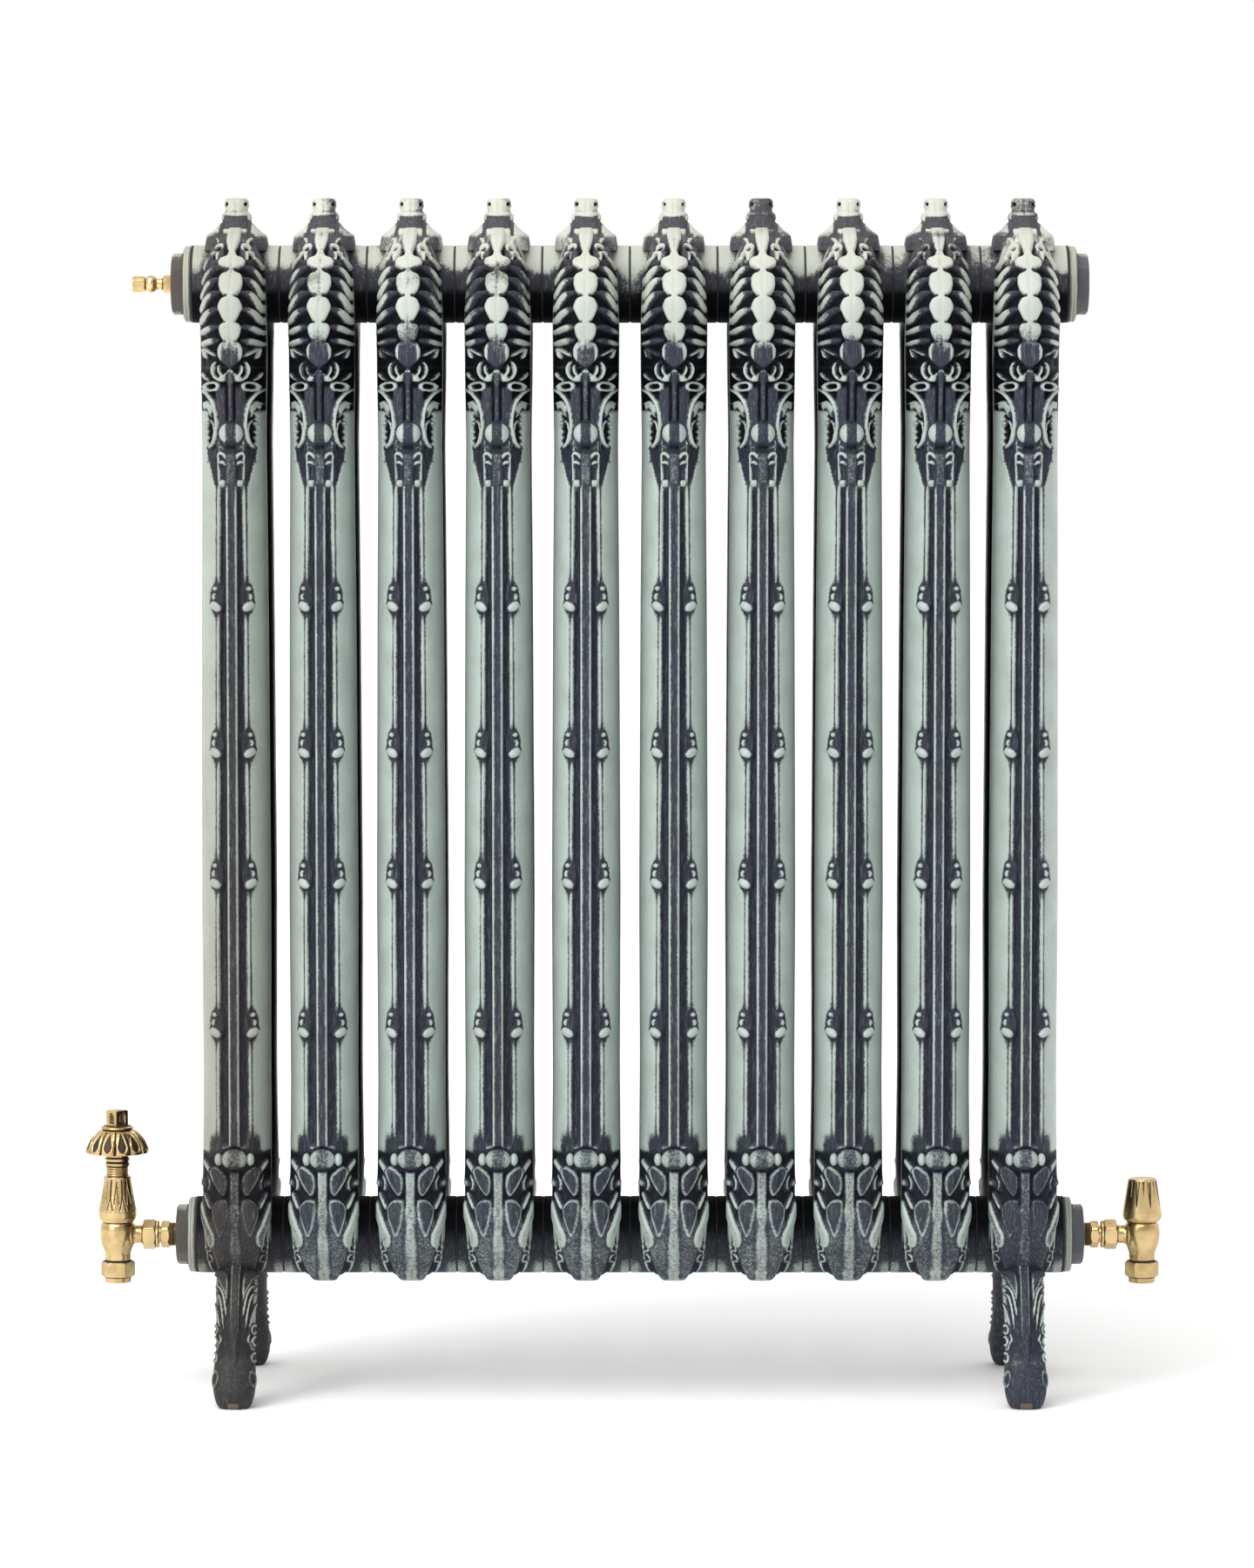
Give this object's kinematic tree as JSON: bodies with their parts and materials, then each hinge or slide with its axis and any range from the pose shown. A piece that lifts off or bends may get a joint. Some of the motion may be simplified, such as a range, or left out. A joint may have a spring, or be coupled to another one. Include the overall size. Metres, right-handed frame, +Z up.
{
  "type": "cast iron radiator",
  "caption": "Free-standing ornamental two-column cast iron radiator on cast legs, with a thermostatic valve, a lockshield valve, an air vent and a blank plug.",
  "frame": {"origin": "on the floor, midway between the outermost points in width and in depth", "axes": "+Z up, +X along the row of sections towards the lockshield valve, -Y towards the front"},
  "size_m": [0.8724, 0.235, 0.96],
  "materials": {
    "sage_paint": "antiqued pale sage paint with navy-charcoal patina in the recesses",
    "patina_fitting": "sage paint rubbed over dark patina",
    "antique_brass": "antique brass, darkened in the recesses and polished on the edges",
    "bare_steel": "bare machined",
    "black_gasket": "matt black fibre",
    "sensor_shell": "matt moulded"
  },
  "bodies": {
    "radiator": {"section_01": "sage_paint", "section_02": "sage_paint", "section_03": "sage_paint", "section_04": "sage_paint", "section_05": "sage_paint", "section_06": "sage_paint", "section_07": "sage_paint", "section_08": "sage_paint", "section_09": "sage_paint", "section_10": "sage_paint", "bottom_nipple_1": "bare_steel", "bottom_nipple_2": "bare_steel", "bottom_nipple_3": "bare_steel", "bottom_nipple_4": "bare_steel", "bottom_nipple_5": "bare_steel", "bottom_nipple_6": "bare_steel", "bottom_nipple_7": "bare_steel", "bottom_nipple_8": "bare_steel", "bottom_nipple_9": "bare_steel", "top_nipple_1": "bare_steel", "top_nipple_2": "bare_steel", "top_nipple_3": "bare_steel", "top_nipple_4": "bare_steel", "top_nipple_5": "bare_steel", "top_nipple_6": "bare_steel", "top_nipple_7": "bare_steel", "top_nipple_8": "bare_steel", "top_nipple_9": "bare_steel", "air_vent_bushing": "patina_fitting", "blank_plug": "patina_fitting", "thermostatic_valve_bushing": "patina_fitting", "lockshield_bushing": "patina_fitting", "air_vent_bushing_gasket": "black_gasket", "blank_plug_gasket": "black_gasket", "thermostatic_valve_bushing_gasket": "black_gasket", "lockshield_bushing_gasket": "black_gasket", "thermostatic_valve_body": "antique_brass", "thermostatic_valve_compression_nut": "antique_brass", "thermostatic_valve_olive": "antique_brass", "thermostatic_valve_union_nut": "antique_brass", "thermostatic_valve_tailpiece": "antique_brass", "lockshield_body": "antique_brass", "lockshield_compression_nut": "antique_brass", "lockshield_olive": "antique_brass", "lockshield_union_nut": "antique_brass", "lockshield_tailpiece": "antique_brass", "thermostatic_valve_fluted_sleeve": "antique_brass", "thermostatic_valve_ringed_neck": "antique_brass", "air_vent_body": "antique_brass"},
    "thermostatic_head": {"thermostatic_valve_handwheel": "antique_brass", "thermostatic_valve_finial": "antique_brass", "thermostatic_valve_sensor": "sensor_shell"},
    "thermostatic_pin": {"thermostatic_valve_pin": "bare_steel"},
    "lockshield_cap": {"lockshield_cap": "antique_brass"},
    "lockshield_spindle": {"lockshield_spindle": "antique_brass"},
    "lockshield_cone": {"lockshield_cone": "antique_brass"},
    "bleed_screw": {"air_vent_bleed_screw": "antique_brass"}
  },
  "joints": [
    {"name": "thermostatic_head_turn", "type": "hinge", "parent": "radiator", "child": "thermostatic_head", "pos_m": [-0.41055, 0, 0.1935], "axis": [0, 0, -1], "range_deg": [0, 300]},
    {"name": "thermostatic_pin_travel", "type": "slide", "parent": "radiator", "child": "thermostatic_pin", "axis": [0, 0, -1], "range_m": [0, 0.002]},
    {"name": "lockshield_cap_pull", "type": "slide", "parent": "radiator", "child": "lockshield_cap", "axis": [0, 0, 1], "range_m": [0, 0.045]},
    {"name": "lockshield_spindle_turn", "type": "hinge", "parent": "radiator", "child": "lockshield_spindle", "pos_m": [0.42025, 0, 0.1435], "axis": [0, 0, 1], "range_deg": [0, 1080]},
    {"name": "lockshield_cone_lift", "type": "slide", "parent": "radiator", "child": "lockshield_cone", "axis": [0, 0, 1], "range_m": [0, 0.003]},
    {"name": "bleed_screw_turn", "type": "hinge", "parent": "radiator", "child": "bleed_screw", "pos_m": [-0.38215, 0, 0.8915], "axis": [-1, 0, 0], "range_deg": [0, 360]}
  ],
  "couplings": [
    {"joint": "thermostatic_pin_travel", "follows": "thermostatic_head_turn", "m_per_rad": 0.00038},
    {"joint": "lockshield_cone_lift", "follows": "lockshield_spindle_turn", "m_per_rad": 0.000159}
  ]
}
